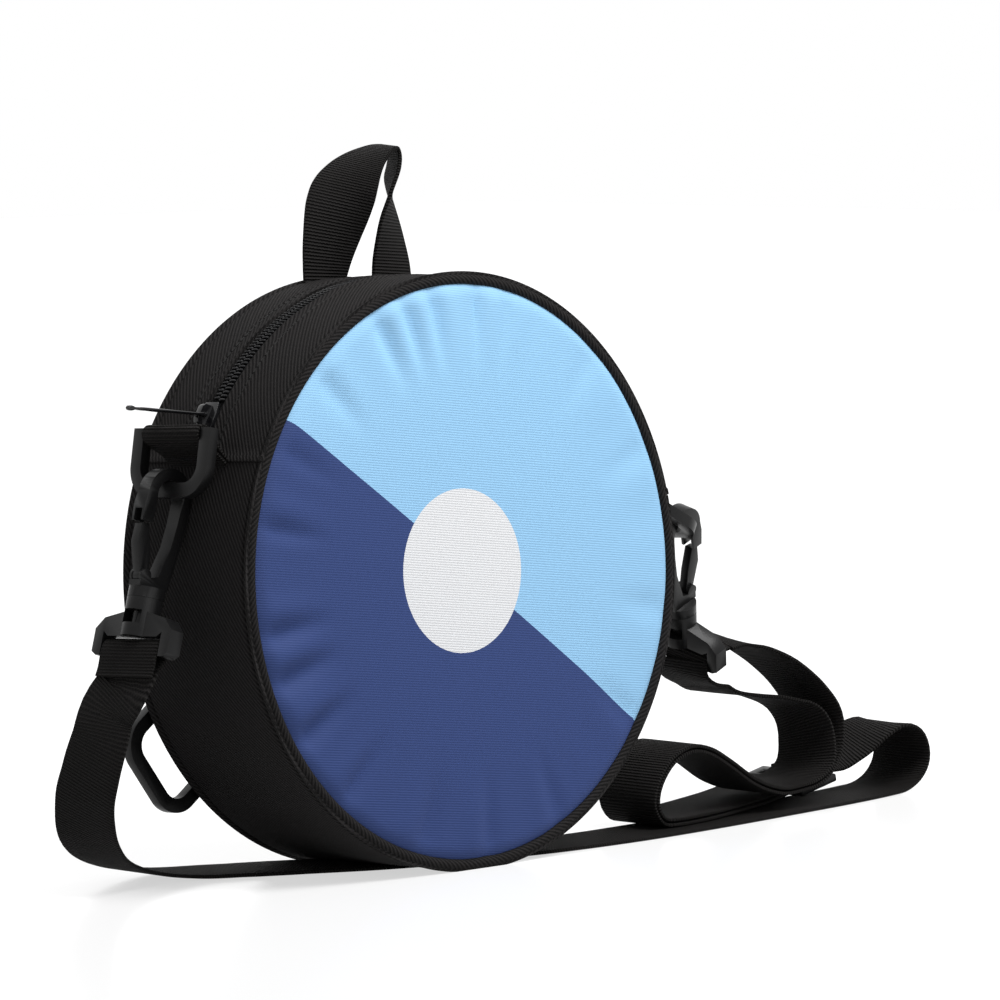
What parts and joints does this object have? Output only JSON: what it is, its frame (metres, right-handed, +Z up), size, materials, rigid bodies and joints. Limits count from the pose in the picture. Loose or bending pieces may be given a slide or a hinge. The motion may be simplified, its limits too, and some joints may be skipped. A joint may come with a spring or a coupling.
{
  "type": "round zip bag",
  "caption": "Round padded zip bag standing on its rim, with a grab handle, ring tabs and a webbing shoulder strap on swivel trigger hooks",
  "frame": {"origin": "point of the floor under the middle of the standing bag", "axes": "+X to the wearer's left as the front panel is faced, that is to the right in a front view; -Y is the way the front panel faces; +Z is up"},
  "size_m": [0.4322, 0.0837, 0.2671],
  "materials": {
    "black_fabric": "woven twill",
    "light_print": "printed twill, light blue",
    "dark_print": "printed twill, dark blue",
    "piping": "bias-cut twill over cord",
    "foam": "closed-cell foam",
    "lining": "plain-weave lining",
    "zipper_tape": "herringbone tape",
    "nylon_coil": "nylon coil",
    "slider_black": "gloss black lacquer",
    "webbing": "ribbed polypropylene webbing",
    "black_plastic": "satin moulded acetal"
  },
  "bodies": {
    "root": {"front_panel": "dark_print", "front_foam": "foam", "front_piping": "piping", "back_panel": "black_fabric", "back_foam": "foam", "back_piping": "piping", "lining_bowl": "lining", "lower_gusset": "black_fabric", "zipper_strip_ends": "black_fabric", "back_zipper_strip": "black_fabric", "back_zipper_tape": "zipper_tape", "back_zipper_coil": "nylon_coil", "end_coil": "nylon_coil", "upper_left_tab": "webbing", "upper_right_tab": "webbing", "lower_left_tab": "webbing", "lower_right_tab": "webbing", "shoulder_strap": "webbing", "strap_inner_layer": "webbing", "strap_outer_layer": "webbing", "strap_adjuster": "black_plastic"},
    "slider": {"zipper_slider": "slider_black"},
    "pull": {"zipper_pull": "slider_black"},
    "mouth_flap": {"front_panel_top": "light_print", "front_foam_top": "foam", "front_piping_top": "piping", "front_zipper_strip": "black_fabric", "front_zipper_tape": "zipper_tape", "front_zipper_coil": "nylon_coil"},
    "handle": {"top_handle": "webbing"},
    "upper_left_ring": {"upper_left_ring": "black_plastic"},
    "upper_right_ring": {"upper_right_ring": "black_plastic"},
    "lower_left_ring": {"lower_left_ring": "black_plastic"},
    "lower_right_ring": {"lower_right_ring": "black_plastic"},
    "left_hook": {"left_hook": "black_plastic"},
    "left_gate": {"left_hook_gate": "black_plastic"},
    "left_bracket": {"left_hook_bracket": "black_plastic", "left_strap_end": "webbing"},
    "right_hook": {"right_hook": "black_plastic"},
    "right_gate": {"right_hook_gate": "black_plastic"},
    "right_bracket": {"right_hook_bracket": "black_plastic", "right_strap_loop": "webbing", "right_strap_lead": "webbing"}
  },
  "joints": [
    {"name": "slider_travel", "type": "hinge", "parent": "root", "child": "slider", "pos_m": [0, 0.00369, 0.10767], "axis": [0, 0.9986, -0.0523], "range_deg": [0, 126]},
    {"name": "pull_flip", "type": "hinge", "parent": "slider", "child": "pull", "pos_m": [-0.09459, 0.007, 0.17067], "axis": [0, 0.9986, -0.0523], "range_deg": [0, 90]},
    {"name": "mouth_opening", "type": "hinge", "parent": "root", "child": "mouth_flap", "pos_m": [0.00652, -0.03504, 0.16529], "axis": [0.9932, -0.0061, -0.1165], "range_deg": [0, 25]},
    {"name": "handle_flop", "type": "hinge", "parent": "root", "child": "handle", "pos_m": [0.01286, 0.03569, 0.21559], "axis": [0.9932, -0.0061, -0.1165], "range_deg": [-35, 40]},
    {"name": "upper_left_ring_swing", "type": "hinge", "parent": "root", "child": "upper_left_ring", "pos_m": [-0.11095, 0.00298, 0.16465], "axis": [0, 0.9986, -0.0523], "range_deg": [0, 50]},
    {"name": "upper_right_ring_swing", "type": "hinge", "parent": "root", "child": "upper_right_ring", "pos_m": [0.12206, 0.0008, 0.12317], "axis": [0, 0.9986, -0.0523], "range_deg": [-30, 18]},
    {"name": "lower_left_ring_flip", "type": "hinge", "parent": "root", "child": "lower_left_ring", "pos_m": [-0.08161, 0.03532, 0.04815], "axis": [0.5779, -0.0427, -0.815], "range_deg": [0, 90]},
    {"name": "lower_right_ring_flip", "type": "hinge", "parent": "root", "child": "lower_right_ring", "pos_m": [0.066, 0.03442, 0.03083], "axis": [0.7513, 0.0345, 0.6591], "range_deg": [0, 90]},
    {"name": "left_hook_swing", "type": "hinge", "parent": "upper_left_ring", "child": "left_hook", "pos_m": [-0.11511, 0.00392, 0.1445], "axis": [0, 0.9986, -0.0523], "range_deg": [0, 40]},
    {"name": "right_hook_swing", "type": "hinge", "parent": "upper_right_ring", "child": "right_hook", "pos_m": [0.14037, -0.00667, 0.11433], "axis": [0, 0.9986, -0.0523], "range_deg": [-8, 12]},
    {"name": "left_gate", "type": "hinge", "parent": "left_hook", "child": "left_gate", "pos_m": [-0.12931, 0.00238, 0.11507], "axis": [0, 0.9986, -0.0523], "range_deg": [0, 20], "stiffness_Nm_per_rad": 0.02},
    {"name": "right_gate", "type": "hinge", "parent": "right_hook", "child": "right_gate", "pos_m": [0.15578, 0.00359, 0.08986], "axis": [0.1531, -0.9421, -0.2983], "range_deg": [0, 20], "stiffness_Nm_per_rad": 0.02},
    {"name": "left_swivel", "type": "hinge", "parent": "left_hook", "child": "left_bracket", "pos_m": [-0.12812, 0.00181, 0.10429], "axis": [-0.3074, -0.0498, -0.9503], "continuous": true},
    {"name": "right_swivel", "type": "hinge", "parent": "right_hook", "child": "right_bracket", "pos_m": [0.15541, 0.00681, 0.07948], "axis": [0.3734, 0.3346, -0.8652], "continuous": true}
  ]
}
